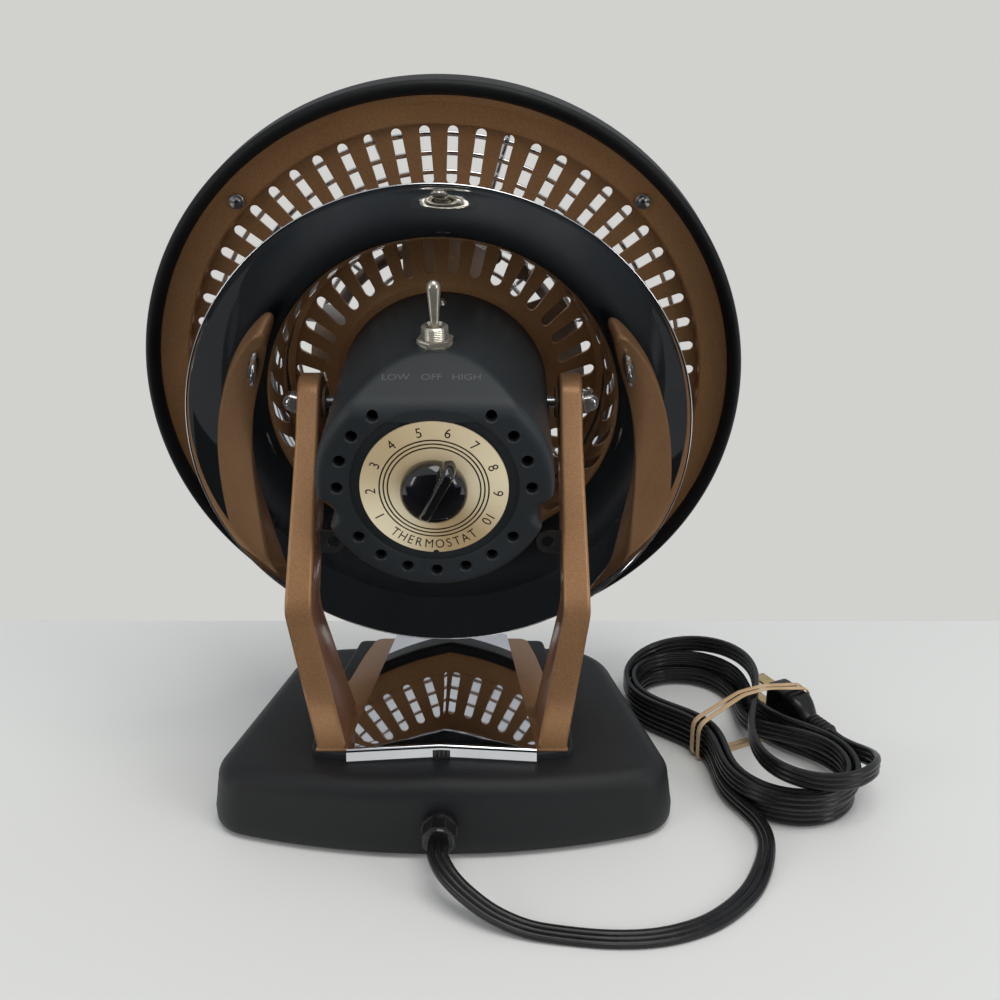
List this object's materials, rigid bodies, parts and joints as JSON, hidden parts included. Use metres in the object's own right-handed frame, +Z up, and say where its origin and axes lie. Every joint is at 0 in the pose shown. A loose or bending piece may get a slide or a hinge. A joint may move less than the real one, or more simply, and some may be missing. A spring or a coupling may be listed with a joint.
{
  "type": "electric fan heater",
  "caption": "Round tilting electric fan heater on a forked stand, with thermostat dial, toggle switch, wire guard and a bundled cord.",
  "frame": {"origin": "on the floor, under the middle of the object's width and depth (cord left out)", "axes": "+Z up, +Y the way the warm air blows, -Y the side with the controls and the cord, +X to the right seen from the controls"},
  "size_m": [0.3718, 0.2402, 0.3495],
  "materials": {
    "black_moulding": "fine-textured black moulding",
    "steel_plate": "black painted sheet steel",
    "rubber": "black rubber",
    "zinc_steel": "zinc-plated steel",
    "inner_plastic": "pale moulded plastic",
    "black_gloss": "glossy black plastic",
    "cord_vinyl": "black vinyl cord",
    "bronze_paint": "metallic bronze paint on sheet steel",
    "liner_brown": "brown paint on sheet steel",
    "chrome": "bright chrome plate",
    "ring_black": "fine-textured black paint",
    "can_black": "textured dark grey-black paint",
    "brass_foil": "satin brass dial",
    "nickel": "nickel plate",
    "motor_steel": "laminated steel",
    "copper": "enamelled copper winding",
    "fan_aluminium": "plain aluminium",
    "heater_sheath": "oxidised steel sheath",
    "band_tan": "tan rubber band",
    "blade_brass": "brass",
    "fibre": "pressed fibre"
  },
  "bodies": {
    "base": {"base_shell": "black_moulding", "bottom_plate": "steel_plate", "rubber_feet": "rubber", "plate_screws": "zinc_steel", "tip_switch": "inner_plastic", "terminal_block": "inner_plastic", "inner_lead": "cord_vinyl", "strain_relief": "black_gloss", "saddle": "bronze_paint", "arm_left": "bronze_paint", "arm_right": "bronze_paint", "liner_left": "liner_brown", "liner_right": "liner_brown", "arm_spacers": "zinc_steel", "yoke_bolts": "zinc_steel", "yoke_nuts": "zinc_steel", "chrome_trim": "chrome", "cord_lead": "cord_vinyl", "cord_hank": "cord_vinyl", "hank_band": "band_tan", "plug_body": "cord_vinyl", "plug_blades": "blade_brass"},
    "head": {"front_ring": "ring_black", "guard_spokes": "chrome", "guard_rings": "chrome", "guard_cap": "chrome", "rear_shell": "bronze_paint", "shell_screws": "zinc_steel", "chrome_dish": "chrome", "control_housing": "can_black", "housing_screws": "zinc_steel", "pivot_studs": "zinc_steel", "pivot_washers": "fibre", "nut_washers": "zinc_steel", "acorn_nuts": "chrome", "dial_plate": "brass_foil", "thermostat_body": "inner_plastic", "toggle_bushing": "nickel", "toggle_nut": "nickel", "switch_body": "black_gloss", "motor_stator": "motor_steel", "motor_coil": "copper", "motor_bracket_rear": "zinc_steel", "motor_bracket_front": "zinc_steel", "motor_pillars": "zinc_steel", "element_bracket": "zinc_steel", "element_inner": "heater_sheath", "element_outer": "heater_sheath", "thermal_cutout": "inner_plastic"},
    "knob": {"knob": "black_gloss", "knob_shaft": "zinc_steel"},
    "toggle": {"toggle_lever": "nickel"},
    "fan": {"fan_blade": "fan_aluminium", "motor_shaft": "zinc_steel", "motor_rotor": "motor_steel"}
  },
  "joints": [
    {"name": "head_tilt", "type": "hinge", "parent": "base", "child": "head", "pos_m": [0, -0.00635, 0.2027], "axis": [1, 0, 0], "range_deg": [-2.5, 22]},
    {"name": "thermostat_turn", "type": "hinge", "parent": "head", "child": "knob", "pos_m": [0, -0.07315, 0.18128], "axis": [0, 0.9848, 0.1736], "range_deg": [-146, 97]},
    {"name": "fan_spin", "type": "hinge", "parent": "head", "child": "fan", "pos_m": [0, 0.02533, 0.19864], "axis": [0, 0.9848, 0.1736], "continuous": true},
    {"name": "toggle_throw", "type": "hinge", "parent": "head", "child": "toggle", "pos_m": [0, -0.04339, 0.24288], "axis": [0, 0.9848, 0.1736], "range_deg": [-13, 13]}
  ]
}
